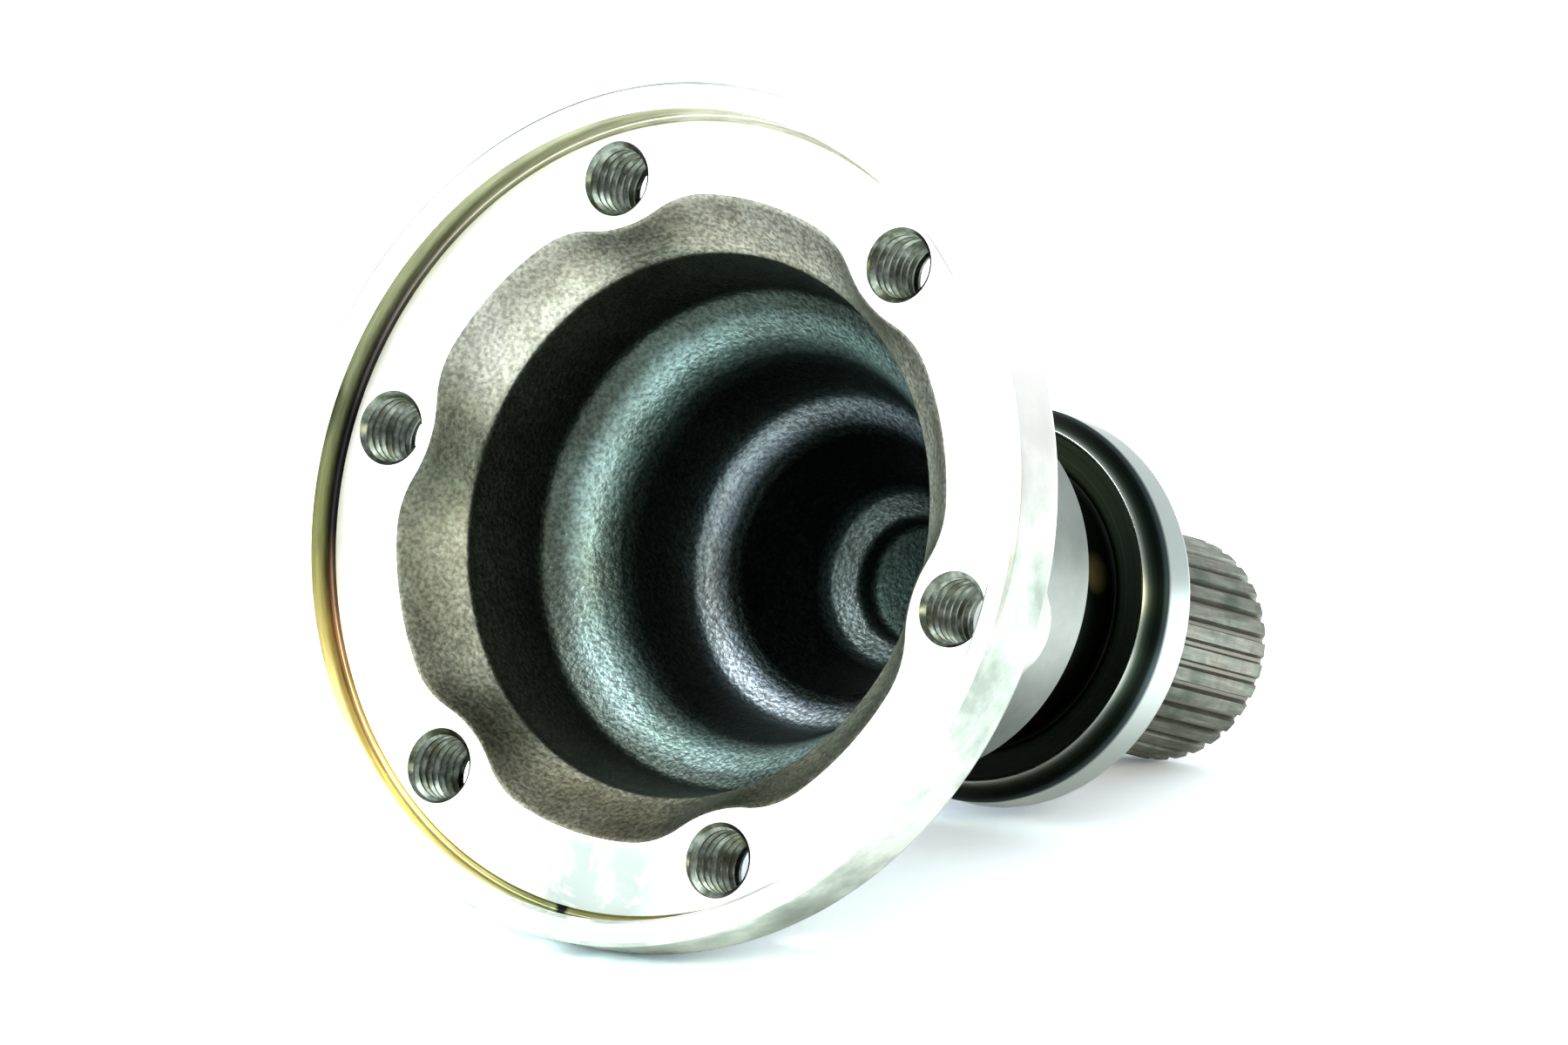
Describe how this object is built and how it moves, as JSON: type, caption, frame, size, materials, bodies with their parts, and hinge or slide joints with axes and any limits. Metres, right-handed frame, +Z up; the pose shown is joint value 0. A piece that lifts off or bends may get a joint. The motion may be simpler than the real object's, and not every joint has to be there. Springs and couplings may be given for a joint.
{
  "type": "differential output shaft",
  "caption": "Forged differential output shaft with a bolted drive flange, a lobed stepped cup, a sealed ball bearing on its neck and a splined end.",
  "frame": {"origin": "centre of the bolt circle, on the joint face of the drive flange", "axes": "+Y along the shaft axis from the joint face towards the splines; +Z up, midway between two tapped holes; +X to the right seen from the joint face with +Z up"},
  "size_m": [0.115, 0.1338, 0.115],
  "materials": {
    "forged_steel": "forged and phosphated, machined on the faces, lip, neck and splines",
    "bearing_steel": "ground and polished",
    "seal_rubber": "moulded, satin",
    "cage_steel": "pressed sheet",
    "spring_steel": "phosphated"
  },
  "bodies": {
    "shaft": {"output_shaft": "forged_steel", "bearing_inner_ring": "bearing_steel", "bearing_circlip": "spring_steel"},
    "outer_race": {"bearing_outer_ring": "bearing_steel", "bearing_front_seal": "seal_rubber", "bearing_rear_seal": "seal_rubber"},
    "ball_cage": {"cage_front_half": "cage_steel", "cage_rear_half": "cage_steel", "cage_rivets": "cage_steel", "ball_01": "bearing_steel", "ball_02": "bearing_steel", "ball_03": "bearing_steel", "ball_04": "bearing_steel", "ball_05": "bearing_steel", "ball_06": "bearing_steel", "ball_07": "bearing_steel", "ball_08": "bearing_steel", "ball_09": "bearing_steel", "ball_10": "bearing_steel", "ball_11": "bearing_steel", "ball_12": "bearing_steel", "ball_13": "bearing_steel", "ball_14": "bearing_steel"}
  },
  "joints": [
    {"name": "outer_race_turn", "type": "hinge", "parent": "shaft", "child": "outer_race", "pos_m": [0, 0.0846, 0], "axis": [0, 1, 0], "continuous": true},
    {"name": "ball_cage_turn", "type": "hinge", "parent": "shaft", "child": "ball_cage", "pos_m": [0, 0.0846, 0], "axis": [0, 1, 0], "continuous": true}
  ],
  "couplings": [
    {"joint": "ball_cage_turn", "follows": "outer_race_turn", "ratio": 0.5661}
  ]
}
